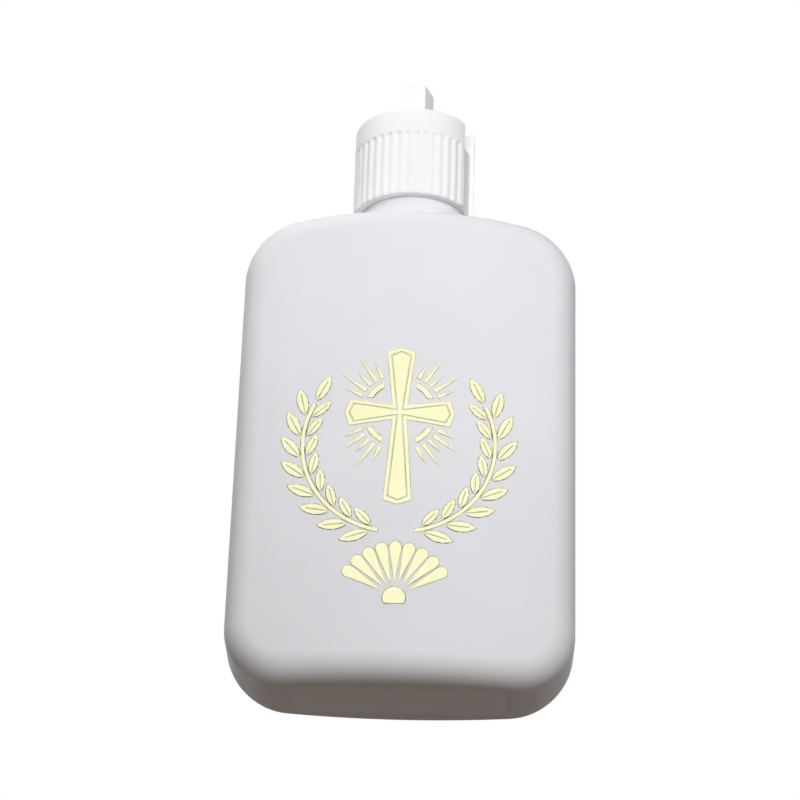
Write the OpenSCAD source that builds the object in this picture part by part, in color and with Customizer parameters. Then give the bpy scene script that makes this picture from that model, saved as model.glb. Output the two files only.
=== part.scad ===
/* [Bottle] */
// Width across the front, at the foot of the side walls
body_w = 62; // [54:0.5:74]
// Depth through the middle, from the front face to the back face
body_d = 27.5; // [25:0.5:36]
// Height of the crown of the shoulders above the table
shoulder_h = 92.4; // [78:0.1:120]
// Lean of each side wall, in degrees
side_draft = 0.3; // [0:0.05:1.5]
// Radius of the slight crown across the front and back faces
face_crown_r = 100; // [90:1:200]
// Radius of the rolled edge around the front and back faces
face_edge_r = 4.5; // [3:0.1:5.5]
// Radius of the two bottom corners, seen from the front
foot_corner_r = 11.1; // [8:0.1:12]
// Radius of the two shoulder corners, seen from the front
shoulder_corner_r = 11.3; // [8:0.1:13]
// Radius of the arch along the top of the shoulders
shoulder_arch_r = 140; // [90:1:220]
// Thickness of the blown wall
wall_t = 1.2; // [0.8:0.1:1.8]
// Thickness of the floor, measured at its standing rim
floor_t = 1.9; // [1.4:0.1:2.6]
// Depth of the push-up panel in the base
panel_depth = 0.6; // [0.2:0.1:1]
// Width of the standing rim around the push-up panel
standing_rim_w = 2.4; // [1.5:0.1:4]

/* [Neck] */
// Outer diameter of the neck, without its thread
neck_d = 17.6; // [16.4:0.1:19]
// Diameter of the bore through the neck
neck_bore_d = 14; // [13:0.1:14.8]
// Height of the neck's lip above the crown of the shoulders
neck_h = 15.1; // [13:0.1:20]
// Radius of the blend between the neck and the shoulders
neck_foot_r = 1.8; // [1:0.1:2.4]
// Chamfer on the outer edge of the lip
lip_chamfer = 0.4; // [0.2:0.05:0.8]

/* [Sealing liner] */
// Thickness of the sealing ring
liner_t = 0.9; // [0.6:0.1:1.4]
// Clearance between the cap's plug and the sealing ring
liner_play = 0.55; // [0.3:0.05:0.9]

/* [Cap] */
// Height of the cap from its rim to its flat top
cap_h = 18.4; // [16:0.1:21]
// Thickness of the cap above the sealing ring
turret_t = 5.85; // [5.5:0.05:6.5]
// Room for the screw thread between the neck and the skirt
thread_room = 1.1; // [0.9:0.05:1.5]
// Thickness of the skirt at the crest of its ribs
skirt_t = 1.5; // [1.3:0.05:2]
// Number of ribs around the skirt
rib_count = 40; // [30:1:48]
// Depth of the flutes between the ribs
flute_depth = 0.4; // [0.2:0.05:0.5]
// Radius of each flute
flute_r = 0.5; // [0.4:0.05:0.6]
// Height of the smooth collar above the ribs
collar_h = 5.1; // [4.2:0.1:6]
// Radius of the rounded edge at the top of the collar
collar_edge_r = 0.9; // [0.6:0.1:2]
// Depth of the finger notch below the ribs beside it
notch_depth = 0.75; // [0.3:0.05:0.8]
// Clearance around the plug that centres the cap in the neck
plug_play = 0.6; // [0.35:0.05:1]
// Thickness of the plug below the spout's socket
plug_floor_t = 1.3; // [0.9:0.1:2]
// Compass bearing of the finger notch, in degrees from the right side
notch_bearing = -20; // [-180:1:180]

/* [Spout] */
// Width of the spout, from cheek to cheek
spout_w = 4.7; // [4:0.1:5.4]
// Diameter of the spout's hub
hub_d = 8.2; // [7:0.1:8.4]
// Distance of the hub's axis behind the middle of the cap
hub_setback = 1.5; // [0.8:0.1:2]
// Depth of the hub's axis below the spout's flat upper face
hub_drop = 2.4; // [1.8:0.1:2.8]
// Taper of the spout's underside, in degrees
spout_taper = 9.3; // [4:0.1:12]
// Angle that the raised spout stands above its folded place
spout_raise = 80.7; // [60:0.1:90]
// Overhang of the folded spout's tip beyond the cap's wall
tip_overhang = 0.35; // [0:0.05:0.6]
// Radius of the rounded corner at the spout's tip
tip_round_r = 0.9; // [0.5:0.1:1.6]
// Diameter of the water channel along the spout
channel_d = 2; // [1.2:0.1:2.6]
// Diameter of the two hub pins
pin_d = 2.6; // [2:0.1:3.2]
// Length of each hub pin beyond the spout's cheek
pin_l = 1; // [0.6:0.1:1.4]
// Clearance beside the spout in its slot
slot_play = 0.3; // [0.15:0.05:0.5]
// Clearance around the hub in its socket
hub_play = 0.15; // [0.1:0.05:0.3]
// Running clearance around the hub pins
pin_play = 0.06; // [0.03:0.01:0.1]

/* [Foil emblem] */
// Height of the emblem's middle above the table
emblem_h = 40.2; // [34:0.2:44]
// Offset of the emblem's middle to the right
emblem_offset = -1; // [-3:0.1:3]
// Thickness of the stamped foil
foil_t = 0.1; // [0.06:0.01:0.2]
// Radius of the ring behind the cross
ring_r = 6.6; // [5.6:0.1:7.4]
// Width of the ring's band
ring_band = 0.9; // [0.5:0.1:1.4]
// Length of the longer rays beyond the ring
ray_l = 5.6; // [3:0.1:6.4]
// Number of rays in each quarter around the cross
quarter_rays = 5; // [3:1:6]
// Reach of the cross above its middle
cross_top = 12; // [9:0.1:14]
// Reach of the cross to each side
cross_side = 9; // [7.5:0.1:10]
// Reach of the cross below its middle
cross_foot = 17; // [13:0.1:18]
// Radius of the two olive sprays
spray_r = 17.2; // [16.6:0.1:18]
// Number of leaf pairs on each spray
leaf_pairs = 8; // [5:1:9]
// Length of an outer olive leaf
leaf_l = 5.4; // [4:0.1:6]
// Width of an outer olive leaf
leaf_w = 1.9; // [1.4:0.1:2.2]
// Number of ribs in the shell below the cross
shell_ribs = 9; // [5:2:11]
// Radius of the shell
shell_r = 10.6; // [8:0.1:11.4]

/* [Hidden] */

// Cutters run this far past the faces that they cut
over = 1;
// Curves that stay true circles
$fn = 64;
// Steps along the rolled edge, a corner, and the base or the arch
edge_steps = 8;
corner_steps = 10;
span_steps = 20;

// Heights and radii that the pieces share
lip_z = shoulder_h + neck_h;
deck_z = lip_z + liner_t;
cap_top_z = deck_z + turret_t;
rim_z = cap_top_z - cap_h;
rib_top_z = cap_top_z - collar_h;
neck_r = neck_d / 2;
bore_r = neck_bore_d / 2;
skirt_bore_r = neck_r + thread_room;
cap_r = skirt_bore_r + skirt_t;
plug_r = bore_r - plug_play;
hub_r = hub_d / 2;
socket_r = hub_r + hub_play;
hub_z = cap_top_z - hub_drop;
slot_w = spout_w + 2 * slot_play;
socket_bottom_z = hub_z - socket_r;
plug_bottom_z = socket_bottom_z - plug_floor_t;
tip_reach = cap_r + hub_setback + tip_overhang;
notch_floor = sqrt(cap_r * cap_r - slot_w * slot_w / 4) - notch_depth;
pin_socket_l = spout_w / 2 + pin_l + slot_play;
// Straight faces start this far inside the round ones that they run on from, to meet them at a clear angle
tangent_sink = 0.05;
// Depth of the spout's tip, and the middle line that its channel follows through the hub
keel_r = hub_r - tangent_sink;
slot_floor_r = socket_r - tangent_sink;
tip_depth = hub_drop + keel_r / cos(spout_taper) - tip_reach * tan(spout_taper);
channel_rise = (hub_drop - hub_r / cos(spout_taper)) / 2;
channel_tilt = spout_raise + spout_taper / 2;
channel_exit = -channel_rise * sin(spout_raise) - (hub_r + channel_rise * cos(spout_raise)) / tan(channel_tilt);

// Front outline: centres of the corner arcs and the side line tangent to them
foot_x = body_w / 2 - foot_corner_r;
side_line = foot_x * cos(side_draft) + foot_corner_r * sin(side_draft) + foot_corner_r;
arch_z = shoulder_h - shoulder_arch_r;
corner_gap = side_line - shoulder_corner_r - arch_z * sin(side_draft);
corner_run = sqrt(pow(shoulder_arch_r - shoulder_corner_r, 2) - pow(corner_gap, 2));
shoulder_x = corner_gap * cos(side_draft) - corner_run * sin(side_draft);
shoulder_z = arch_z + corner_gap * sin(side_draft) + corner_run * cos(side_draft);
arch_start = atan2(shoulder_z - arch_z, shoulder_x);

function arc(cx, cz, r, from, to, steps) =
    [for (i = [0:steps]) let (a = from + (to - from) * i / steps) [cx + r * cos(a), cz + r * sin(a)]];

function reverse(list) = [for (i = [len(list) - 1:-1:0]) list[i]];

function flip(list) = [for (p = reverse(list)) [-p[0], p[1]]];

// Right half of the foot, from the middle of the base to the side wall
function half_foot(inset, lift) = concat(
    [for (i = [0:span_steps / 2 - 1]) [foot_x * 2 * i / span_steps, inset + lift]],
    arc(foot_x, foot_corner_r + lift, foot_corner_r - inset, -90, side_draft, corner_steps));

// Right half of the shoulder, from the side wall to the crown
function half_shoulder(inset) = concat(
    arc(shoulder_x, shoulder_z, shoulder_corner_r - inset, side_draft, arch_start, corner_steps),
    [for (i = [1:span_steps / 2])
        let (a = arch_start + (90 - arch_start) * 2 * i / span_steps)
        [(shoulder_arch_r - inset) * cos(a), arch_z + (shoulder_arch_r - inset) * sin(a)]]);

// The whole front outline, set in by a distance, with its floor lifted
function tail(list) = [for (i = [1:len(list) - 1]) list[i]];
function outline(inset, lift) =
    let (foot = half_foot(inset, lift), top = half_shoulder(inset))
    concat(flip(tail(foot)), foot, top, tail(flip(top)));

// Half of the bottle's depth at a distance from the middle of a crowned face
function half_depth(x) = body_d / 2 - face_crown_r + sqrt(face_crown_r * face_crown_r - x * x);

// One ring around the bottle, on the rolled edge of the face on one side
function edge_ring(off, lift, angle, side) =
    let (reach = face_edge_r - off)
    [for (p = outline(face_edge_r - reach * cos(angle), lift))
        [p[0], side * (half_depth(p[0]) - face_edge_r + reach * sin(angle)), p[1]]];

// A flat bottle shape: the outline rolled over at the front and at the back
module bottle_form(off, lift) {
    rings = concat(
        [for (k = [0:edge_steps]) edge_ring(off, lift, 90 - 90 * k / edge_steps, -1)],
        [for (k = [0:edge_steps]) edge_ring(off, lift, 90 * k / edge_steps, 1)]);
    count = len(rings[0]);
    half = count / 2;
    last = (len(rings) - 1) * count;
    walls = [for (k = [0:len(rings) - 2], i = [0:count - 1])
        let (j = (i + 1) % count, a = k * count, b = a + count)
        each [[a + i, b + j, b + i], [a + i, a + j, b + j]]];
    front = [for (i = [0:half - 2])
        each [[i, count - 2 - i, i + 1], [i, count - 1 - i, count - 2 - i]]];
    back = [for (f = front) [last + f[0], last + f[2], last + f[1]]];
    polyhedron([for (ring = rings) each ring], concat(walls, front, back));
}

// A block with rounded upright corners, centred on the vertical axis
module rounded_block(w, d, h, r) {
    linear_extrude(h) {
        square([w - 2 * r, d], center = true);
        square([w, d - 2 * r], center = true);
        for (x = [-1, 1], y = [-1, 1])
            translate([x * (w / 2 - r), y * (d / 2 - r)]) circle(r);
    }
}

// Bottle: blown shell, push-up base and neck
panel_w = 2 * (foot_x - standing_rim_w);
panel_d = 2 * (half_depth(foot_x) - face_edge_r - standing_rim_w);
panel_corner_r = panel_d / 3;
// The blend's foot sinks into the arched shoulder, so that the two surfaces cross at a clear angle
blend_sink = 0.6;
neck_foot_z = shoulder_h - shoulder_arch_r - blend_sink
    + sqrt(pow(shoulder_arch_r, 2) - pow(neck_r + neck_foot_r, 2));

module neck_solid() {
    rotate_extrude() difference() {
        polygon([
            [0, neck_foot_z - over],
            [neck_r + neck_foot_r, neck_foot_z - over],
            [neck_r + neck_foot_r, neck_foot_z],
            [neck_r, neck_foot_z + neck_foot_r],
            [neck_r, lip_z - lip_chamfer],
            [neck_r - lip_chamfer, lip_z],
            [0, lip_z]]);
        translate([neck_r + neck_foot_r, neck_foot_z + neck_foot_r]) circle(neck_foot_r);
    }
}

module bottle_body() {
    color("white") difference() {
        union() {
            bottle_form(0, 0);
            neck_solid();
        }
        bottle_form(wall_t, floor_t - wall_t);
        translate([0, 0, shoulder_h - 2 * wall_t]) cylinder(r = bore_r, h = neck_h + 2 * wall_t + over);
        translate([0, 0, -over]) rounded_block(panel_w, panel_d, panel_depth + over, panel_corner_r);
    }
}

// Foil emblem: cross, ring, rays, olive sprays and shell, stamped on the crowned front
cross_y = 9.5;
cross_waist = 1.15;
cross_flare = 2.5;
cross_point = 0.8;
inline_from = 0.6;
inline_to = 0.9;
ray_gap = 0.9;
ray_half_deg = 2.6;
short_ray = 0.6;
spray_y = 3.6;
spray_from = -79;
spray_to = 27;
stem_w = 0.6;
leaf_lean = 32;
inner_leaf = 0.82;
vein_w = 0.26;
shell_y = -26;
shell_spread = 132;
shell_gap = 0.6;
shell_hinge_r = 2;
shell_root_r = 2.8;

// A cross with flared, pointed arms, set in by a distance
module cross_shape(inset) {
    arms = [cross_top, cross_side, cross_foot, cross_side];
    waist = cross_waist - inset;
    flare = cross_flare - inset;
    square(2 * waist, center = true);
    for (i = [0:3]) rotate(-90 * i)
        polygon([
            [-waist, 0],
            [waist, 0],
            [flare, arms[i] - inset],
            [0, arms[i] - inset + cross_point],
            [-flare, arms[i] - inset]]);
}

module inlined_cross() {
    difference() {
        cross_shape(0);
        cross_shape(inline_from);
    }
    cross_shape(inline_to);
}

module ring_and_rays() {
    half_gap = cross_flare + ray_gap / 2;
    difference() {
        circle(ring_r);
        circle(ring_r - ring_band);
        for (i = [0:3]) rotate(90 * i) translate([-half_gap, 0]) square([2 * half_gap, ring_r + over]);
    }
    from = ring_r + ray_gap;
    first = asin(half_gap / from) + ray_half_deg;
    step = (90 - 2 * first) / (quarter_rays - 1);
    for (q = [0:3], i = [0:quarter_rays - 1]) rotate(90 * q + first + step * i)
        polygon([
            [from, -from * tan(ray_half_deg)],
            [from + ray_l * (i % 2 == 0 ? short_ray : 1), 0],
            [from, from * tan(ray_half_deg)]]);
}

// A leaf is the lens between two arcs, split along its vein
module leaf() {
    half_l = leaf_l / 2;
    half_w = leaf_w / 2;
    r = (half_l * half_l + half_w * half_w) / leaf_w;
    translate([half_l, 0]) difference() {
        intersection() {
            translate([0, r - half_w]) circle(r);
            translate([0, half_w - r]) circle(r);
        }
        translate([-half_l - over, -vein_w / 2]) square([0.8 * leaf_l + over, vein_w]);
    }
}

module spray() {
    step = (spray_to - spray_from) / leaf_pairs;
    difference() {
        circle(spray_r + stem_w / 2);
        circle(spray_r - stem_w / 2);
        rotate(spray_to) translate([-2 * spray_r, 0]) square(4 * spray_r);
        rotate(spray_from) translate([-2 * spray_r, -4 * spray_r]) square(4 * spray_r);
        translate([-2 * spray_r, -2 * spray_r]) square([2 * spray_r, 4 * spray_r]);
    }
    for (i = [0:leaf_pairs - 1]) rotate(spray_from + step * (i + 0.35)) translate([spray_r, 0]) {
        translate([stem_w, 0]) rotate(90 - leaf_lean) leaf();
        translate([-stem_w, 0]) rotate(90 + leaf_lean) scale(inner_leaf) leaf();
    }
    rotate(spray_to) translate([spray_r, stem_w]) rotate(90) leaf();
}

module shell_shape() {
    step = shell_spread / shell_ribs;
    half = tan(step / 2) * shell_r - shell_gap / 2;
    for (i = [0:shell_ribs - 1]) rotate(90 - shell_spread / 2 + step * (i + 0.5)) {
        polygon([[shell_root_r, 0], [shell_r - half, -half], [shell_r - half, half]]);
        translate([shell_r - half, 0]) circle(half);
    }
    intersection() {
        circle(shell_hinge_r);
        translate([-shell_hinge_r, -shell_hinge_r / 2]) square(2 * shell_hinge_r);
    }
}

module emblem_outline() {
    translate([0, cross_y]) {
        inlined_cross();
        ring_and_rays();
    }
    translate([0, spray_y]) {
        spray();
        mirror([1, 0]) spray();
    }
    translate([0, shell_y]) shell_shape();
}

foil_seat = 0.01;
emblem_span = 2 * (spray_r + leaf_l);

module foil_emblem() {
    color("palegoldenrod") intersection() {
        translate([emblem_offset, 0, emblem_h]) rotate([90, 0, 0]) linear_extrude(body_d) emblem_outline();
        translate([0, face_crown_r - body_d / 2, emblem_h - emblem_span]) difference() {
            cylinder(r = face_crown_r + foil_seat + foil_t, h = 2 * emblem_span, $fn = 720);
            translate([0, 0, -over])
                cylinder(r = face_crown_r + foil_seat, h = 2 * emblem_span + 2 * over, $fn = 720);
        }
    }
}

// Sealing liner: a soft ring between the neck's lip and the cap
liner_outer_r = neck_r + thread_room / 2;

module sealing_liner() {
    color("whitesmoke") translate([0, 0, lip_z]) difference() {
        cylinder(r = liner_outer_r, h = liner_t);
        translate([0, 0, -over]) cylinder(r = plug_r + liner_play, h = liner_t + 2 * over);
    }
}

// Cap: ribbed skirt, smooth collar, plug, and a slot that takes the folded spout
module at_hub() {
    rotate(notch_bearing) translate([-hub_setback, 0, hub_z]) children();
}

module cap_blank() {
    rotate_extrude() {
        polygon([
            [0, deck_z],
            [skirt_bore_r, deck_z],
            [skirt_bore_r, rim_z],
            [cap_r, rim_z],
            [cap_r, cap_top_z - collar_edge_r],
            [cap_r - collar_edge_r, cap_top_z - collar_edge_r],
            [cap_r - collar_edge_r, cap_top_z],
            [0, cap_top_z]]);
        translate([cap_r - collar_edge_r, cap_top_z - collar_edge_r]) intersection() {
            circle(collar_edge_r);
            square(collar_edge_r);
        }
    }
    translate([0, 0, plug_bottom_z]) cylinder(r = plug_r, h = deck_z - plug_bottom_z + over);
}

// Side view of the slot: the hub's socket, and a floor that follows the folded spout out to the wall
module slot_profile() {
    slot_l = tip_reach + over;
    circle(socket_r);
    polygon([
        [0, hub_drop + over],
        [slot_l, hub_drop + over],
        [slot_l, slot_l * tan(spout_taper) - slot_floor_r / cos(spout_taper)],
        [slot_floor_r * sin(spout_taper), -slot_floor_r * cos(spout_taper)]]);
}

module spout_slot() {
    at_hub() {
        rotate([90, 0, 0]) linear_extrude(slot_w, center = true) slot_profile();
        rotate([90, 0, 0]) cylinder(d = pin_d + 2 * pin_play, h = 2 * pin_socket_l, center = true);
        translate([channel_exit, 0, -socket_r - plug_floor_t - over])
            cylinder(d = channel_d, h = socket_r + plug_floor_t + over);
    }
}

module finger_notch() {
    rotate(notch_bearing) translate([notch_floor, -slot_w / 2, rim_z - over])
        cube([cap_r, slot_w, hub_z - rim_z + over]);
}

// Flutes run all round the skirt, apart from the ones that the notch takes away
module flutes() {
    angles = [for (i = [0:rib_count - 1]) 360 * (i + 0.5) / rib_count];
    clear = [for (a = angles) if (cos(a) < 0 || cap_r * abs(sin(a)) > slot_w / 2 + flute_r) a];
    for (a = clear) rotate(notch_bearing + a) translate([cap_r - flute_depth + flute_r, 0, rim_z - over])
        cylinder(r = flute_r, h = rib_top_z - rim_z + over, $fn = 16);
}

module cap_body() {
    color("white") difference() {
        cap_blank();
        spout_slot();
        finger_notch();
        flutes();
    }
}

// Spout: hub with two pins, tapered nozzle and water channel, standing up
module spout_profile() {
    corner = tip_reach - tip_depth * tan(spout_taper / 2);
    difference() {
        circle(hub_r);
        translate([-hub_d, hub_drop]) square(2 * hub_d);
    }
    polygon([
        [0, hub_drop],
        [corner - tip_round_r, hub_drop],
        [corner, hub_drop - tip_round_r],
        [tip_reach, hub_drop - tip_depth],
        [keel_r * sin(spout_taper), -keel_r * cos(spout_taper)]]);
    translate([corner - tip_round_r, hub_drop - tip_round_r]) circle(tip_round_r);
}

module spout() {
    color("white") at_hub() rotate([0, -spout_raise, 0]) difference() {
        union() {
            rotate([90, 0, 0]) linear_extrude(spout_w, center = true) spout_profile();
            rotate([90, 0, 0]) cylinder(d = pin_d, h = spout_w + 2 * pin_l, center = true);
        }
        translate([0, 0, channel_rise]) rotate([0, 90 - spout_taper / 2, 0])
            translate([0, 0, -hub_d]) cylinder(d = channel_d, h = hub_d + tip_reach + over);
    }
}

bottle_body();
foil_emblem();
sealing_liner();
cap_body();
spout();
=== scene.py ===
import math

import bmesh
import bpy
from mathutils import Matrix, Vector


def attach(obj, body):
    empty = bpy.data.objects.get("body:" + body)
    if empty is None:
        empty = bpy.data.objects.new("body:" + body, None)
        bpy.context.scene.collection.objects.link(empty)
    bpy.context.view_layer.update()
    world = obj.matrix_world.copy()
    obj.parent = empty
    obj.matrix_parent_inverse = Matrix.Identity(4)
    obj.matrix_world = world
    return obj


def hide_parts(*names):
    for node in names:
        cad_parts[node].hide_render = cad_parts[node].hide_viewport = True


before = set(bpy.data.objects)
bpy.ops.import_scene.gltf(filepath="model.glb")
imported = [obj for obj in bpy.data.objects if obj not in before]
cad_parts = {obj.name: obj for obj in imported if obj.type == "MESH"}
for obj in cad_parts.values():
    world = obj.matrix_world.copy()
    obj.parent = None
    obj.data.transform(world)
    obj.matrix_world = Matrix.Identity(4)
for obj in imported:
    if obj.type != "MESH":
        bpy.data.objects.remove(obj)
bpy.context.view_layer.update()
mm = 0.001

# Sizes of the bottle, in millimetres, as its solids have them
body_width = 62.0
body_depth = 27.5
shoulder_height = 92.4
side_lean = math.radians(0.3)
crown_radius = 100.0
edge_radius = 4.5
foot_corner = 11.1
shoulder_corner = 11.3
arch_radius = 140.0
wall = 1.2
floor_lift = 0.7
neck_radius = 8.8
bore_radius = 7.0
lip_height = 107.5

# Grooves beside the parting line: depth, distances from the line, and the height where they fade out
groove_depth = 0.07
groove_inner = 0.12
groove_floor_near = 0.24
groove_floor_far = 0.4
groove_outer = 0.7
groove_end = 12.0
groove_fade = 20.0

# Screw thread of the neck and the cap
thread_pitch = 3.175
thread_start = 98.6
thread_height = 0.7
thread_root = 0.15
thread_width = 1.5

# Sizes of the closure
cap_radius = 11.4
skirt_bore = 9.9
rim_height = 95.85
deck_height = 108.4
cap_top = 114.25
rib_top = 109.15
collar_round = 0.9
rib_count = 40
flute_depth = 0.4
head_slope = 0.5
plug_radius = 6.4
plug_bottom = 106.3
notch_turn = math.radians(-20)
slot_width = 5.3
slot_play = 0.3
notch_depth = 0.75
hub_radius = 4.1
socket_radius = 4.25
hub_setback = 1.5
hub_drop = 2.4
hub_height = cap_top - hub_drop
spout_width = 4.7
spout_taper = math.radians(9.3)
spout_raise = math.radians(80.7)
tip_overhang = 0.35
spout_reach = cap_radius + hub_setback + tip_overhang
pin_radius = 1.3
pin_length = 1.0
pin_play = 0.06
channel_radius = 1.0
channel_rise = (hub_drop - hub_radius / math.cos(spout_taper)) / 2
channel_tilt = spout_raise + spout_taper / 2
channel_drop = (hub_radius + channel_rise * math.cos(spout_raise)) / math.tan(channel_tilt)
channel_exit = -channel_rise * math.sin(spout_raise) - channel_drop

# Points that are closer than this are merged, on turned pieces, on the bottle, and on plates and foil
merge_gap = 0.002
fine_merge_gap = 0.001
finest_merge_gap = 0.0005


# Modelling helpers

def put_down():
    """Leave edit mode and drop every selection."""
    if bpy.context.mode != "OBJECT":
        bpy.ops.object.mode_set(mode="OBJECT")
    bpy.ops.object.select_all(action="DESELECT")


def pick_up(piece):
    """Make one piece the only selected one."""
    put_down()
    piece.select_set(True)
    bpy.context.view_layer.objects.active = piece


def call_it(name):
    """Name the piece that was just added, and put its place in its mesh."""
    piece = bpy.context.active_object
    piece.name = name
    piece.data.name = name
    bpy.ops.object.transform_apply(location=True, rotation=True, scale=True)
    return piece


def open_mesh(piece):
    """Go into edit mode on a piece, with nothing selected."""
    pick_up(piece)
    bpy.ops.object.mode_set(mode="EDIT")
    bpy.ops.mesh.select_all(action="DESELECT")
    return bmesh.from_edit_mesh(piece.data)


def tidy_mesh(piece, gap):
    """Merge doubled points and turn all faces outwards."""
    open_mesh(piece)
    bpy.ops.mesh.select_all(action="SELECT")
    bpy.ops.mesh.remove_doubles(threshold=gap * mm)
    bpy.ops.mesh.normals_make_consistent(inside=False)
    put_down()


def apply_modifier(piece, kind, **settings):
    """Add a modifier, set it and apply it."""
    pick_up(piece)
    change = piece.modifiers.new(kind.lower(), kind)
    for key, value in settings.items():
        setattr(change, key, value)
    bpy.ops.object.modifier_apply(modifier=change.name)


def combine(piece, tool, operation):
    """Join a tool to a piece, or cut it out of the piece, and throw the tool away."""
    apply_modifier(piece, "BOOLEAN", operation=operation, solver="EXACT", object=tool)
    bpy.data.objects.remove(tool)


def soften(piece, width, segments, angle):
    """Round the edges of a piece that are sharper than an angle in degrees."""
    apply_modifier(piece, "BEVEL", width=width * mm, segments=segments, limit_method="ANGLE",
                   angle_limit=math.radians(angle), use_clamp_overlap=True, harden_normals=False)


def smooth_shade(piece, angle):
    """Shade a piece smooth, apart from the edges that are sharper than an angle in degrees."""
    pick_up(piece)
    bpy.ops.object.shade_smooth_by_angle(angle=math.radians(angle))


def turned(name, points, sides=128, ring=False):
    """Turn a piece as on a lathe: a circle, extruded and scaled from point to point of its profile."""
    put_down()
    radius, height = points[0]
    bpy.ops.mesh.primitive_circle_add(vertices=sides, radius=radius * mm, location=(0, 0, height * mm))
    piece = call_it(name)
    open_mesh(piece)
    bpy.ops.mesh.select_all(action="SELECT")
    for next_radius, next_height in points[1:]:
        rise = (0, 0, (next_height - height) * mm)
        bpy.ops.mesh.extrude_edges_move(TRANSFORM_OT_translate={"value": rise})
        ratio = next_radius / radius
        bpy.ops.transform.resize(value=(ratio, ratio, 1), center_override=(0, 0, 0))
        radius, height = next_radius, next_height
    if ring:
        bpy.ops.mesh.select_all(action="DESELECT")
        bpy.ops.mesh.select_non_manifold()
        bpy.ops.mesh.bridge_edge_loops()
    else:
        bpy.ops.mesh.select_all(action="SELECT")
        bpy.ops.mesh.fill_holes(sides=0)
    put_down()
    tidy_mesh(piece, merge_gap)
    return piece


def arc_points(centre_r, centre_z, radius, start, end, steps):
    """Points along an arc, from one angle to another in degrees."""
    points = []
    for i in range(steps + 1):
        angle = math.radians(start + (end - start) * i / steps)
        points.append((centre_r + radius * math.cos(angle), centre_z + radius * math.sin(angle)))
    return points


# Bottle

foot_x = body_width / 2 - foot_corner
side_line = foot_x * math.cos(side_lean) + foot_corner * math.sin(side_lean) + foot_corner
arch_z = shoulder_height - arch_radius
corner_gap = side_line - shoulder_corner - arch_z * math.sin(side_lean)
corner_run = math.sqrt((arch_radius - shoulder_corner) ** 2 - corner_gap ** 2)
shoulder_x = corner_gap * math.cos(side_lean) - corner_run * math.sin(side_lean)
shoulder_z = arch_z + corner_gap * math.sin(side_lean) + corner_run * math.cos(side_lean)
arch_start = math.degrees(math.atan2(shoulder_z - arch_z, shoulder_x))
lean_degrees = math.degrees(side_lean)


def half_depth(x):
    """Half of the bottle's depth at a distance from the middle of its crowned face."""
    return body_depth / 2 - crown_radius + math.sqrt(crown_radius ** 2 - x * x)


def front_outline(inset, lift, corner_steps, span_steps):
    """The front outline, set in by a distance, from the middle of the base round to it again."""
    foot = [(foot_x * i / span_steps, inset + lift) for i in range(span_steps)]
    foot += arc_points(foot_x, foot_corner + lift, foot_corner - inset, -90, lean_degrees, corner_steps)
    corner = shoulder_corner - inset
    top = arc_points(shoulder_x, shoulder_z, corner, lean_degrees, arch_start, corner_steps)
    reach = arch_radius - inset
    for i in range(1, span_steps + 1):
        angle = math.radians(arch_start + (90 - arch_start) * i / span_steps)
        top.append((reach * math.cos(angle), arch_z + reach * math.sin(angle)))
    left_top = [(-x, z) for x, z in reversed(top[:-1])]
    left_foot = [(-x, z) for x, z in reversed(foot[1:])]
    return foot + top + left_top + left_foot


def bottle_rings(inside, parting, wall_steps, roll_steps):
    """Each ring's inset, share of the wall's depth and added depth, from parting line to front face."""
    reach = edge_radius - inside
    rings = [(inside, 0.0, 0.0)]
    if parting:
        rings += [(0.0, 0.0, groove_inner), (parting, 0.0, groove_floor_near)]
        rings += [(parting, 0.0, groove_floor_far), (0.0, 0.0, groove_outer)]
    for i in range(1, wall_steps + 1):
        rings.append((inside, i / wall_steps, 0.0))
    for k in range(1, roll_steps + 1):
        angle = math.radians(90 * k / roll_steps)
        rings.append((edge_radius - reach * math.cos(angle), 1.0, reach * math.sin(angle)))
    return rings


def fade_to_base(plain, grooved):
    """A point of the parting line's groove, which is full on the walls and gone at the base."""
    share = min(max((plain[1] - groove_end) / groove_fade, 0), 1)
    return tuple(a + (b - a) * share for a, b in zip(plain, grooved))


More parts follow.
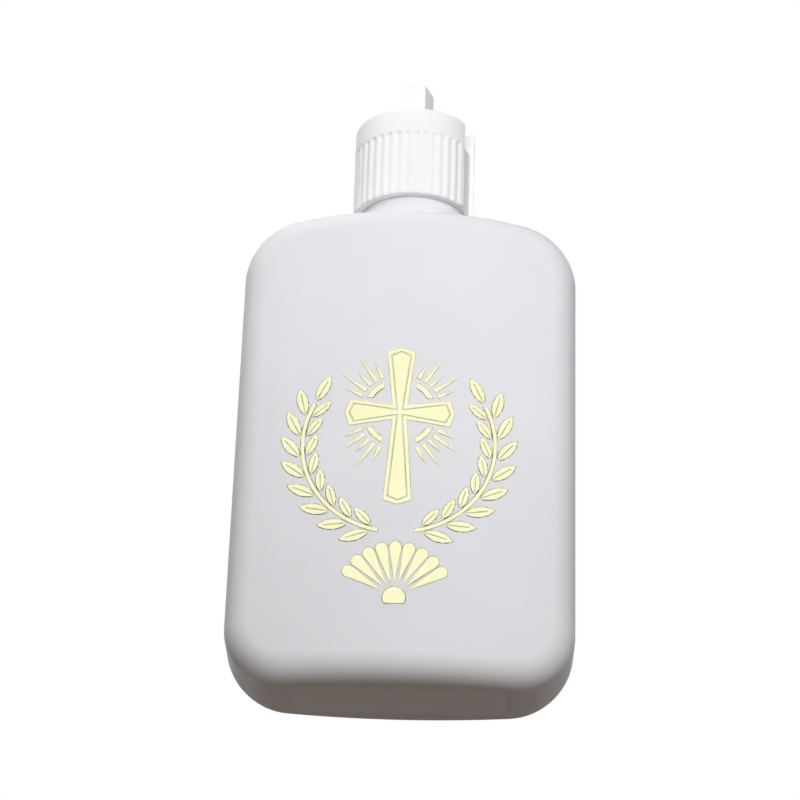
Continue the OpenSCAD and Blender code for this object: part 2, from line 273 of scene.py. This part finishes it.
def flat_bottle(name, inside, lift, parting, corner_steps, span_steps, wall_steps, roll_steps):
    """One half of the flat form, extruded ring by ring and bridged across the front, then mirrored."""
    rings = bottle_rings(inside, parting, wall_steps, roll_steps)
    outlines = {}
    for ring in rings:
        outlines[ring[0]] = front_outline(ring[0], lift, corner_steps, span_steps)
    if parting:
        plain = front_outline(0, lift, corner_steps, span_steps)
        outlines[parting] = [fade_to_base(*pair) for pair in zip(plain, outlines[parting])]
    count = len(outlines[inside])
    put_down()
    bpy.ops.mesh.primitive_circle_add(vertices=count, radius=shoulder_height * mm)
    half = call_it(name)
    mesh = open_mesh(half)
    spot = mesh.verts.layers.int.new("spot")
    mesh.verts.ensure_lookup_table()
    for i, point in enumerate(mesh.verts):
        point[spot] = i
    for number, (inset, share, roll) in enumerate(rings):
        if number == 0:
            bpy.ops.mesh.select_all(action="SELECT")
        else:
            bpy.ops.mesh.extrude_edges_move()
        mesh = bmesh.from_edit_mesh(half.data)
        spot = mesh.verts.layers.int["spot"]
        for point in mesh.verts:
            if point.select:
                x, z = outlines[inset][point[spot]]
                y = share * (half_depth(x) - edge_radius) + roll
                point.co = Vector((x, -y, z)) * mm
        bmesh.update_edit_mesh(half.data)
    # The two long sides of the last ring are left out, so that the base is bridged to the arch
    foot_end = span_steps + corner_steps
    for edge in mesh.edges:
        if edge.select:
            ends = sorted(point[spot] for point in edge.verts)
            right_side = ends == [foot_end, foot_end + 1]
            left_side = ends == [count - foot_end - 1, count - foot_end]
            if right_side or left_side:
                edge.select_set(False)
    bmesh.update_edit_mesh(half.data)
    bpy.ops.mesh.bridge_edge_loops()
    put_down()
    apply_modifier(half, "MIRROR", use_axis=(False, True, False), use_clip=True,
                   merge_threshold=fine_merge_gap * mm)
    tidy_mesh(half, fine_merge_gap)
    return half


def thread_ridge(name, root, crest, start, turns):
    """A screw thread: a small tooth swept up around the axis."""
    sides_per_turn = 96
    steps = int(sides_per_turn * turns)
    half_foot = thread_width / 2
    half_crest = thread_width / 5
    tooth = [(root, -half_foot), (crest, -half_crest), (crest, half_crest), (root, half_foot)]
    put_down()
    bpy.ops.mesh.primitive_plane_add(size=1)
    ridge = call_it(name)
    mesh = open_mesh(ridge)
    around = [mesh.faces[:][0].loops[i].vert for i in range(4)]
    for point, (radius, height) in zip(around, tooth):
        point.co = Vector((radius, 0, start + height)) * mm
    bmesh.update_edit_mesh(ridge.data)
    put_down()
    apply_modifier(ridge, "SCREW", axis="Z", angle=2 * math.pi * turns,
                   screw_offset=thread_pitch * turns * mm, steps=steps, render_steps=steps,
                   use_merge_vertices=False)
    return ridge


def base_dish(piece):
    """Press the shallow push-up into the base."""
    side_rim = 1.5
    front_rim = 1.0
    soft = 5.0
    depth = 0.6
    base_skin = 0.2
    panel_x = foot_x - side_rim
    panel_y = half_depth(foot_x) - edge_radius - front_rim
    for point in piece.data.vertices:
        x, y, z = point.co / mm
        if z < base_skin:
            across = min(max((panel_x - abs(x)) / soft, 0), 1)
            along = min(max((panel_y - abs(y)) / soft, 0), 1)
            rise = across * across * (3 - 2 * across) * along * along * (3 - 2 * along)
            point.co.z += depth * rise * mm


def blown_bottle():
    """The bottle: flat form, neck and the land under its thread, hollowed by a smaller flat form."""
    bottle = flat_bottle("blown_bottle", inside=0.0, lift=0.0, parting=groove_depth,
                         corner_steps=18, span_steps=24, wall_steps=10, roll_steps=12)
    base_dish(bottle)
    blend = 0.85
    blend_sink = 0.45
    blend_z = shoulder_height - blend_sink
    neck_sink = 3
    neck_foot = shoulder_height - neck_sink
    foot_row = 1
    bore_over = 2
    land_radius = 9.86
    land_top = 96.8
    land_edge = 0.3
    lip_round = 0.4
    flare = land_radius + blend
    neck_profile = [(flare - foot_row, neck_foot), (flare, neck_foot)]
    neck_profile += arc_points(flare, blend_z + blend, blend, 270, 180, 10)
    neck_profile += [(land_radius, land_top - land_edge), (land_radius - land_edge, land_top)]
    neck_profile.append((neck_radius, land_top))
    neck_profile += arc_points(neck_radius - lip_round, lip_height - lip_round, lip_round, 0, 90, 5)
    neck = turned("neck", neck_profile)
    ridge = thread_ridge("neck_thread", neck_radius - thread_root, neck_radius + thread_height,
                         start=thread_start, turns=1.5)
    combine(neck, ridge, "UNION")
    combine(bottle, neck, "UNION")
    hollow = flat_bottle("hollow", inside=wall, lift=floor_lift, parting=0,
                         corner_steps=8, span_steps=10, wall_steps=4, roll_steps=5)
    bore = turned("bore", [(bore_radius, neck_foot), (bore_radius, lip_height + bore_over)])
    combine(hollow, bore, "UNION")
    combine(bottle, hollow, "DIFFERENCE")
    tidy_mesh(bottle, fine_merge_gap)
    smooth_shade(bottle, angle=40)
    return bottle


# Closure

def at_notch(point):
    """A point given along, across and above the spout's folding plane, placed on the bottle."""
    turn = Matrix.Rotation(notch_turn, 3, "Z")
    return turn @ (Vector(point) * mm)


def plate(name, outline, width):
    """A flat plate: a side view in the folding plane, filled and extruded to its width about that plane."""
    put_down()
    bpy.ops.mesh.primitive_circle_add(vertices=len(outline), radius=mm)
    piece = call_it(name)
    mesh = open_mesh(piece)
    mesh.verts.ensure_lookup_table()
    for point, (along, above) in zip(mesh.verts, outline):
        point.co = at_notch((along, -width / 2, above))
    bmesh.update_edit_mesh(piece.data)
    bpy.ops.mesh.select_all(action="SELECT")
    bpy.ops.mesh.edge_face_add()
    bpy.ops.mesh.select_all(action="SELECT")
    step = at_notch((0, width, 0))
    bpy.ops.mesh.extrude_region_move(TRANSFORM_OT_translate={"value": step})
    put_down()
    tidy_mesh(piece, finest_merge_gap)
    return piece


def cross_pin(name, radius, length):
    """A round pin across the folding plane, on the hub's axis."""
    put_down()
    bpy.ops.mesh.primitive_cylinder_add(vertices=48, radius=radius * mm, depth=length * mm,
                                        location=at_notch((-hub_setback, 0, hub_height)),
                                        rotation=(math.pi / 2, 0, notch_turn))
    return call_it(name)


def slot_outline():
    """Side view of the slot: the hub's socket and the floor that follows the folded spout."""
    over = 1.5
    reach = spout_reach + over
    top = hub_height + hub_drop + over
    foot_angle = math.degrees(spout_taper) - 90
    outline = arc_points(-hub_setback, hub_height, socket_radius, 180, 360 + foot_angle, 28)
    floor_end = hub_height + reach * math.tan(spout_taper) - socket_radius / math.cos(spout_taper)
    outline += [(reach - hub_setback, floor_end), (reach - hub_setback, top)]
    mouth = math.degrees(math.asin(hub_drop / socket_radius))
    back_x = -hub_setback - socket_radius * math.cos(math.radians(mouth))
    outline += [(back_x, top), (back_x, cap_top)]
    outline += arc_points(-hub_setback, hub_height, socket_radius, 180 - mouth, 180, 6)[1:-1]
    return outline


def notch_outline():
    """Side view of the finger notch below the slot."""
    floor = math.sqrt(cap_radius ** 2 - slot_width ** 2 / 4) - notch_depth
    below = rim_height - 1
    beyond = cap_radius + 2
    return [(floor, below), (beyond, below), (beyond, hub_height), (floor, hub_height)]


def cap_profile():
    """Half section of the cap's blank, from its plug round the skirt to its top."""
    plug_edge = 0.5
    bore_edge = 0.09
    bore_edge_bow = 0.03
    rim_round = 0.45
    skirt_rows = 24
    head_rows = 5
    collar_row = 0.6
    profile = [(plug_radius - plug_edge, plug_bottom), (plug_radius, plug_bottom + plug_edge)]
    profile += [(plug_radius, deck_height), (skirt_bore, deck_height)]
    profile.append((skirt_bore, rim_height + bore_edge))
    profile.append((skirt_bore + bore_edge_bow, rim_height + bore_edge_bow))
    profile.append((skirt_bore + bore_edge, rim_height))
    profile += arc_points(cap_radius - rim_round, rim_height + rim_round, rim_round, -90, 0, 5)
    skirt_start = rim_height + rim_round
    flute_end = rib_top - head_slope
    for i in range(1, skirt_rows + 1):
        profile.append((cap_radius, skirt_start + (flute_end - skirt_start) * i / skirt_rows))
    for i in range(1, head_rows + 1):
        profile.append((cap_radius, flute_end + head_slope * i / head_rows))
    profile.append((cap_radius, rib_top + collar_row))
    profile += arc_points(cap_radius - collar_round, cap_top - collar_round, collar_round, 0, 90, 10)
    return profile


def turret_cap():
    """The cap: turned blank, slot, notch and bores, then the flutes between its ribs."""
    sides_per_rib = 20
    mouth_length = 6
    cap = turned("turret_cap", cap_profile(), sides=rib_count * sides_per_rib)
    combine(cap, plate("slot_cutter", slot_outline(), slot_width), "DIFFERENCE")
    combine(cap, plate("notch_cutter", notch_outline(), slot_width), "DIFFERENCE")
    pin_span = spout_width + 2 * pin_length + 2 * slot_play
    combine(cap, cross_pin("pin_bore", pin_radius + pin_play, pin_span), "DIFFERENCE")
    put_down()
    channel_foot = at_notch((channel_exit - hub_setback, 0, plug_bottom))
    bpy.ops.mesh.primitive_cylinder_add(vertices=40, radius=channel_radius * mm,
                                        depth=mouth_length * mm, location=channel_foot)
    combine(cap, call_it("channel_mouth"), "DIFFERENCE")
    soften(cap, width=0.16, segments=3, angle=40)
    cut_flutes(cap)
    ridge = thread_ridge("cap_thread", skirt_bore + thread_root, skirt_bore - thread_height,
                         start=thread_start + thread_pitch / 2, turns=1.4)
    combine(cap, ridge, "UNION")
    smooth_shade(cap, angle=35)
    return cap


def cut_flutes(cap):
    """Draw the flutes into the skirt, deepest at their heads, apart from the ones beside the notch."""
    pitch = 2 * math.pi / rib_count
    head_length = 1.0
    head_share = 0.5
    notch_margin = 0.5
    skirt_skin = 0.5
    for point in cap.data.vertices:
        x, y, z = point.co / mm
        radius = math.hypot(x, y)
        if radius < cap_radius - skirt_skin or z > rib_top:
            continue
        angle = math.atan2(y, x) - notch_turn
        number = math.floor(angle / pitch)
        middle = (number + 0.5) * pitch
        if math.cos(middle) > 0 and cap_radius * abs(math.sin(middle)) < slot_width / 2 + notch_margin:
            continue
        hollow = 0.5 + 0.5 * math.cos(2 * math.pi * (angle - middle) / pitch)
        ledge = min((rib_top - z) / head_slope, 1)
        head = math.exp((z - rib_top) / head_length)
        shrink = ledge * flute_depth * hollow * (1 - head_share + head_share * head)
        point.co.x *= 1 - shrink / radius
        point.co.y *= 1 - shrink / radius


def spout_outline():
    """Side view of the spout, lying folded along its slot."""
    tip_round = 0.9
    keel_round = 1.4
    tip_depth = hub_drop + hub_radius / math.cos(spout_taper) - spout_reach * math.tan(spout_taper)
    corner = spout_reach - tip_depth * math.tan(spout_taper / 2)
    foot_angle = math.degrees(spout_taper) - 90
    mouth = math.degrees(math.asin(hub_drop / hub_radius))
    outline = arc_points(0, 0, hub_radius, 180 - mouth, 360 + foot_angle, 40)
    keel_low = hub_drop - tip_depth - keel_round * math.tan(spout_taper)
    keel_end = keel_low + keel_round / math.cos(spout_taper)
    outline += arc_points(spout_reach - keel_round, keel_end, keel_round, foot_angle, 0, 8)
    outline += arc_points(corner - tip_round, hub_drop - tip_round, tip_round, 0, 90, 8)
    return outline


def pouring_spout():
    """The spout, raised as in the photograph: hub, nozzle, pins and water channel."""
    channel_length = 40
    cosine = math.cos(spout_raise)
    sine = math.sin(spout_raise)
    raised = []
    for folded in spout_outline():
        point = Vector(folded)
        along = point.x * cosine - point.y * sine - hub_setback
        above = point.x * sine + point.y * cosine + hub_height
        raised.append((along, above))
    spout = plate("pouring_spout", raised, spout_width)
    middle = at_notch((-channel_rise * sine - hub_setback, 0, channel_rise * cosine + hub_height))
    put_down()
    bpy.ops.mesh.primitive_cylinder_add(vertices=40, radius=channel_radius * mm,
                                        depth=channel_length * mm, location=middle,
                                        rotation=(0, math.pi / 2 - channel_tilt, notch_turn))
    combine(spout, call_it("channel"), "DIFFERENCE")
    soften(spout, width=0.42, segments=4, angle=45)
    pins = cross_pin("pins", pin_radius, spout_width + 2 * pin_length)
    soften(pins, width=0.2, segments=2, angle=45)
    combine(spout, pins, "UNION")
    smooth_shade(spout, angle=35)
    return spout


def foam_liner():
    """The soft ring that seals the cap on the neck's lip."""
    inner = 6.95
    outer = 9.35
    edge = 0.18
    profile = arc_points(inner + edge, lip_height + edge, edge, 180, 270, 3)
    profile += arc_points(outer - edge, lip_height + edge, edge, 270, 360, 3)
    profile += arc_points(outer - edge, deck_height - edge, edge, 0, 90, 3)
    profile += arc_points(inner + edge, deck_height - edge, edge, 90, 180, 3)
    liner = turned("foam_liner", profile, ring=True)
    smooth_shade(liner, angle=40)
    return liner


# Foil

def edge_directions(mesh, spot):
    """The direction away from the foil, in its plane, at each point of its outline."""
    away = {}
    for edge in mesh.edges:
        if edge.is_boundary:
            face = edge.link_faces[0]
            along = edge.verts[1].co - edge.verts[0].co
            out = along.cross(face.normal).normalized()
            middle = (edge.verts[0].co + edge.verts[1].co) / 2
            if out.dot(middle - face.calc_center_median()) < 0:
                out = -out
            for point in edge.verts:
                away[point[spot]] = away.get(point[spot], Vector()) + out
    return away


def pressed_edge_shade():
    """The thin sloping rim that the stamping die leaves around the foil, which carries the painted shade
    along the foil's edge.
    """
    ring_width = 0.13
    ring_drop = 0.1
    front_facing = -0.9
    flat_facing = -0.95
    put_down()
    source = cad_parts["foil_emblem"]
    rim = source.copy()
    rim.data = source.data.copy()
    rim.name = "pressed_edge_shade"
    rim.data.name = "pressed_edge_shade"
    rim.parent = None
    for key in list(rim.keys()):
        del rim[key]
    bpy.context.scene.collection.objects.link(rim)
    open_mesh(rim)
    bpy.ops.mesh.select_all(action="SELECT")
    bpy.ops.mesh.remove_doubles(threshold=finest_merge_gap * mm)
    mesh = bmesh.from_edit_mesh(rim.data)
    for face in mesh.faces:
        face.select_set(face.normal.y > front_facing)
    bmesh.update_edit_mesh(rim.data)
    bpy.ops.mesh.delete(type="FACE")
    mesh = bmesh.from_edit_mesh(rim.data)
    spot = mesh.verts.layers.int.new("spot")
    for number, point in enumerate(mesh.verts):
        point[spot] = number
    away = edge_directions(mesh, spot)
    bmesh.update_edit_mesh(rim.data)
    bpy.ops.mesh.select_all(action="DESELECT")
    bpy.ops.mesh.select_mode(type="EDGE")
    bpy.ops.mesh.select_non_manifold(extend=False, use_wire=False, use_multi_face=False, use_verts=False)
    bpy.ops.mesh.extrude_edges_move()
    mesh = bmesh.from_edit_mesh(rim.data)
    spot = mesh.verts.layers.int["spot"]
    for point in mesh.verts:
        if point.select:
            point.co += away[point[spot]].normalized() * ring_width * mm
            point.co.y += ring_drop * mm
    # The flat faces go, and the sloping ring around them stays
    mesh.normal_update()
    for face in mesh.faces:
        face.select_set(face.normal.y < flat_facing)
    bmesh.update_edit_mesh(rim.data)
    bpy.ops.mesh.delete(type="FACE")
    bpy.ops.mesh.select_mode(type="VERT")
    put_down()
    return rim


# Materials

def new_finish(name):
    """A new material with its shader, ready for nodes."""
    finish = bpy.data.materials.new(name)
    finish.use_nodes = True
    tree = finish.node_tree
    shader = tree.nodes["Principled BSDF"]
    return finish, tree, shader


def node(tree, kind, **settings):
    """A node with its settings and input values."""
    made = tree.nodes.new(kind)
    for key, value in settings.items():
        if hasattr(made, key):
            setattr(made, key, value)
        else:
            made.inputs[key.replace("_", " ").title()].default_value = value
    return made


def join(tree, source, output, target, socket):
    """Link one node to another."""
    tree.links.new(source.outputs[output], target.inputs[socket])


def cloudy(tree, place, scale, detail, roughness):
    """Noise on the piece's own coordinates."""
    noise = node(tree, "ShaderNodeTexNoise", scale=scale, detail=detail, roughness=roughness)
    join(tree, place, "Object", noise, "Vector")
    return noise


def two_tones(tree, shader, noise, deep, deep_at, pale, pale_at):
    """Colour a shader between a deep and a pale tone, by the level of a noise."""
    tint = node(tree, "ShaderNodeValToRGB")
    tint.color_ramp.elements[0].position = deep_at
    tint.color_ramp.elements[0].color = (*deep, 1)
    tint.color_ramp.elements[1].position = pale_at
    tint.color_ramp.elements[1].color = (*pale, 1)
    join(tree, noise, "Fac", tint, "Fac")
    join(tree, tint, "Color", shader, "Base Color")


def uneven_gloss(tree, shader, noise, gloss):
    """Vary a shader's roughness between two values, by the level of a noise."""
    shine = node(tree, "ShaderNodeMapRange")
    shine.inputs["To Min"].default_value = gloss[0]
    shine.inputs["To Max"].default_value = gloss[1]
    join(tree, noise, "Fac", shine, "Value")
    join(tree, shine, "Result", shader, "Roughness")


def fine_relief(tree, shader, noise, strength, distance):
    """Roughen a shader's surface by the level of a noise."""
    relief = node(tree, "ShaderNodeBump", strength=strength, distance=distance)
    join(tree, noise, "Fac", relief, "Height")
    join(tree, relief, "Normal", shader, "Normal")


def moulded_plastic(name, pale, deep, gloss, sheen, grain, milk, depth):
    """White moulded plastic: faint clouds of colour, an uneven gloss and a fine skin."""
    finish, tree, shader = new_finish(name)
    place = node(tree, "ShaderNodeTexCoord")
    clouds = cloudy(tree, place, scale=45.0, detail=3.0, roughness=0.55)
    two_tones(tree, shader, clouds, deep=deep, deep_at=0.3, pale=pale, pale_at=0.7)
    skin = cloudy(tree, place, scale=grain, detail=4.0, roughness=0.6)
    uneven_gloss(tree, shader, skin, gloss)
    fine_relief(tree, shader, skin, strength=0.12, distance=0.00008)
    shader.inputs["Subsurface Weight"].default_value = milk
    shader.inputs["Subsurface Radius"].default_value = (1.0, 0.92, 0.84)
    shader.inputs["Subsurface Scale"].default_value = depth
    shader.inputs["Specular IOR Level"].default_value = sheen
    return finish


def stamped_gold(name):
    """Pale gold foil with a faint uneven lay."""
    finish, tree, shader = new_finish(name)
    place = node(tree, "ShaderNodeTexCoord")
    lay = cloudy(tree, place, scale=260.0, detail=5.0, roughness=0.6)
    two_tones(tree, shader, lay, deep=(0.94, 0.92, 0.55), deep_at=0.25,
              pale=(0.99, 0.975, 0.63), pale_at=0.7)
    uneven_gloss(tree, shader, lay, gloss=(0.16, 0.24))
    fine_relief(tree, shader, lay, strength=0.15, distance=0.00005)
    shader.inputs["Metallic"].default_value = 0.9
    return finish


def edge_shadow(name):
    """Painted shade: an olive-grey line standing in for the shadow along the foil's edge, where the die
    pressed it.
    """
    finish, tree, shader = new_finish(name)
    place = node(tree, "ShaderNodeTexCoord")
    lay = cloudy(tree, place, scale=900.0, detail=3.0, roughness=0.6)
    two_tones(tree, shader, lay, deep=(0.52, 0.50, 0.33), deep_at=0.3,
              pale=(0.70, 0.68, 0.50), pale_at=0.7)
    shader.inputs["Roughness"].default_value = 0.45
    return finish


def dress(piece, finish):
    """Give a piece one finish."""
    piece.data.materials.clear()
    piece.data.materials.append(finish)


# Camera, floor and light

def photo_camera():
    """The photograph's camera: below the bottle, looking up at its front and base."""
    tilt = math.radians(-24.807)
    swing = math.radians(1.176)
    roll = math.radians(1.800)
    distance = 0.561546
    aim = Vector((0, 0, 0.057304))
    picture_pixels = 800
    focal_pixels = 3052.17
    right_pixels = -7.13
    up_pixels = 6.21
    film_width = 36
    back = Vector((math.sin(swing) * math.cos(tilt), -math.cos(swing) * math.cos(tilt), math.sin(tilt)))
    right = Vector((math.cos(swing), math.sin(swing), 0))
    up = back.cross(right)
    cosine = math.cos(roll)
    sine = math.sin(roll)
    right, up = cosine * right + sine * up, cosine * up - sine * right
    eye = aim + distance * back
    put_down()
    bpy.ops.object.camera_add()
    camera = bpy.context.active_object
    camera.name = "photo_camera"
    camera.matrix_world = Matrix.Translation(eye) @ Matrix((right, up, back)).transposed().to_4x4()
    camera.data.sensor_width = film_width
    camera.data.lens = focal_pixels / picture_pixels * film_width
    camera.data.shift_x = right_pixels / picture_pixels
    camera.data.shift_y = up_pixels / picture_pixels
    camera.data.clip_start = 0.01
    camera.data.clip_end = 50
    bpy.context.scene.camera = camera


def soft_lamp(name, place, aim, size, power, colour):
    """A square studio lamp that points at the bottle and stays out of its reflections."""
    put_down()
    bpy.ops.object.light_add(type="AREA", location=place)
    lamp = bpy.context.active_object
    lamp.name = name
    lamp.data.size = size
    lamp.data.energy = power
    lamp.data.color = colour
    lamp.rotation_euler = (Vector(aim) - Vector(place)).to_track_quat("-Z", "Y").to_euler()
    lamp.visible_camera = False
    lamp.visible_glossy = False


def larger(tree, first, first_output, second, second_output):
    """The larger of two values."""
    most = node(tree, "ShaderNodeMath", operation="MAXIMUM")
    join(tree, first, first_output, most, 0)
    join(tree, second, second_output, most, 1)
    return most


def seen_white(tree, path):
    """One for light that the camera sees straight, mirrored or through a clear piece, else zero."""
    seen = larger(tree, path, "Is Camera Ray", path, "Is Glossy Ray")
    return larger(tree, seen, "Value", path, "Is Transmission Ray")


def studio_floor():
    """A pale floor that keeps the shadow, fades to white, and is open to view and light from below."""
    fade_from = 0.05
    fade_to = 0.24
    seen_grey = (0.86, 0.86, 0.86, 1)
    bounced_grey = (0.06, 0.06, 0.06, 1)
    # Numbers of the mix node's sockets
    mix_share = 0
    mix_first = 6
    mix_second = 7
    mix_result = 2
    put_down()
    bpy.ops.mesh.primitive_circle_add(vertices=96, radius=4, fill_type="NGON")
    floor = call_it("studio_floor")
    finish = bpy.data.materials.new("pale_floor")
    finish.use_nodes = True
    tree = finish.node_tree
    tree.nodes.clear()
    out = node(tree, "ShaderNodeOutputMaterial")
    place = node(tree, "ShaderNodeTexCoord")
    distance = node(tree, "ShaderNodeVectorMath", operation="LENGTH")
    join(tree, place, "Object", distance, 0)
    fade = node(tree, "ShaderNodeMapRange", interpolation_type="SMOOTHSTEP")
    fade.inputs["From Min"].default_value = fade_from
    fade.inputs["From Max"].default_value = fade_to
    join(tree, distance, "Value", fade, "Value")
    path = node(tree, "ShaderNodeLightPath")
    paint = node(tree, "ShaderNodeMix", data_type="RGBA")
    paint.inputs[mix_first].default_value = seen_grey
    paint.inputs[mix_second].default_value = bounced_grey
    join(tree, path, "Is Diffuse Ray", paint, mix_share)
    matte = node(tree, "ShaderNodeBsdfDiffuse")
    join(tree, paint, mix_result, matte, "Color")
    white = node(tree, "ShaderNodeEmission")
    clear = node(tree, "ShaderNodeBsdfTransparent")
    seen = seen_white(tree, path)
    whiten = node(tree, "ShaderNodeMath", operation="MULTIPLY")
    join(tree, seen, "Value", whiten, 0)
    join(tree, fade, "Result", whiten, 1)
    top = node(tree, "ShaderNodeMixShader")
    join(tree, whiten, "Value", top, "Fac")
    join(tree, matte, "BSDF", top, 1)
    join(tree, white, "Emission", top, 2)
    side = node(tree, "ShaderNodeNewGeometry")
    open_side = larger(tree, side, "Backfacing", path, "Is Shadow Ray")
    both = node(tree, "ShaderNodeMixShader")
    join(tree, open_side, "Value", both, "Fac")
    join(tree, top, "Shader", both, 1)
    join(tree, clear, "BSDF", both, 2)
    join(tree, both, "Shader", out, "Surface")
    dress(floor, finish)


def plain_light(tree, strength):
    """White light from all round, at a strength."""
    light = node(tree, "ShaderNodeBackground")
    light.inputs["Color"].default_value = (1, 1, 1, 1)
    light.inputs["Strength"].default_value = strength
    return light


def studio_world():
    """A white surround to look at, with a lower level of light from it."""
    world = bpy.data.worlds.new("studio")
    bpy.context.scene.world = world
    world.use_nodes = True
    tree = world.node_tree
    tree.nodes.clear()
    out = node(tree, "ShaderNodeOutputWorld")
    path = node(tree, "ShaderNodeLightPath")
    seen = seen_white(tree, path)
    both = node(tree, "ShaderNodeMixShader")
    join(tree, seen, "Value", both, "Fac")
    join(tree, plain_light(tree, strength=0.08), "Background", both, 1)
    join(tree, plain_light(tree, strength=1.0), "Background", both, 2)
    join(tree, both, "Shader", out, "Surface")


# The scene

photo_camera()
studio_floor()
studio_world()
soft_lamp("key", (0.058, -0.32, 0.106), aim=(0, 0, 0.08), size=0.25, power=0.885, colour=(1, 0.99, 1))
soft_lamp("upper_key", (0.058, -0.25, 0.2), aim=(0, 0, 0.1), size=0.2, power=0.17, colour=(1, 0.99, 1))
soft_lamp("left_fill", (-0.2, -0.01, 0.24), aim=(0, 0, 0.09), size=0.12, power=0.29, colour=(1, 1, 1))
soft_lamp("back_left", (-0.25, 0.6, 0.25), aim=(0, 0, 0.06), size=0.3, power=2.0, colour=(1, 1, 1))
soft_lamp("back_right", (0.25, 0.6, 0.25), aim=(0, 0, 0.06), size=0.3, power=2.0, colour=(1, 1, 1))
soft_lamp("under", (0, 0.05, -0.9), aim=(0, 0, 0), size=0.4, power=1.42, colour=(1.0, 0.86, 0.75))
bpy.context.scene.view_settings.view_transform = "Standard"

bottle_white = moulded_plastic("milky_bottle_plastic", pale=(0.82, 0.82, 0.843), deep=(0.79, 0.79, 0.813),
                               gloss=(0.42, 0.52), sheen=0.03, grain=900.0, milk=0.12, depth=0.0008)
cap_white = moulded_plastic("bright_cap_plastic", pale=(0.94, 0.94, 0.94), deep=(0.925, 0.925, 0.925),
                            gloss=(0.28, 0.36), sheen=0.04, grain=1400.0, milk=0.35, depth=0.0008)
foam_white = moulded_plastic("liner_foam", pale=(0.84, 0.84, 0.81), deep=(0.76, 0.76, 0.73),
                             gloss=(0.7, 0.85), sheen=0.14, grain=2600.0, milk=0.1, depth=0.001)
gold = stamped_gold("pale_gold_foil")
# Olive-grey painted shade for the rim around the foil
olive = edge_shadow("pressed_foil_edge_shade")

bottle = blown_bottle()
dress(bottle, bottle_white)
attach(bottle, "bottle")
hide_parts("bottle_body")

dress(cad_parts["foil_emblem"], gold)
rim = pressed_edge_shade()
# The olive finish on this rim is painted shade: the shadow along the foil's pressed edge
dress(rim, olive)
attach(rim, "bottle")

liner = foam_liner()
dress(liner, foam_white)
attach(liner, "liner")
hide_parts("sealing_liner")

cap = turret_cap()
dress(cap, cap_white)
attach(cap, "cap")
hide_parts("cap_body")

spout = pouring_spout()
dress(spout, cap_white)
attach(spout, "spout")
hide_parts("spout")

put_down()
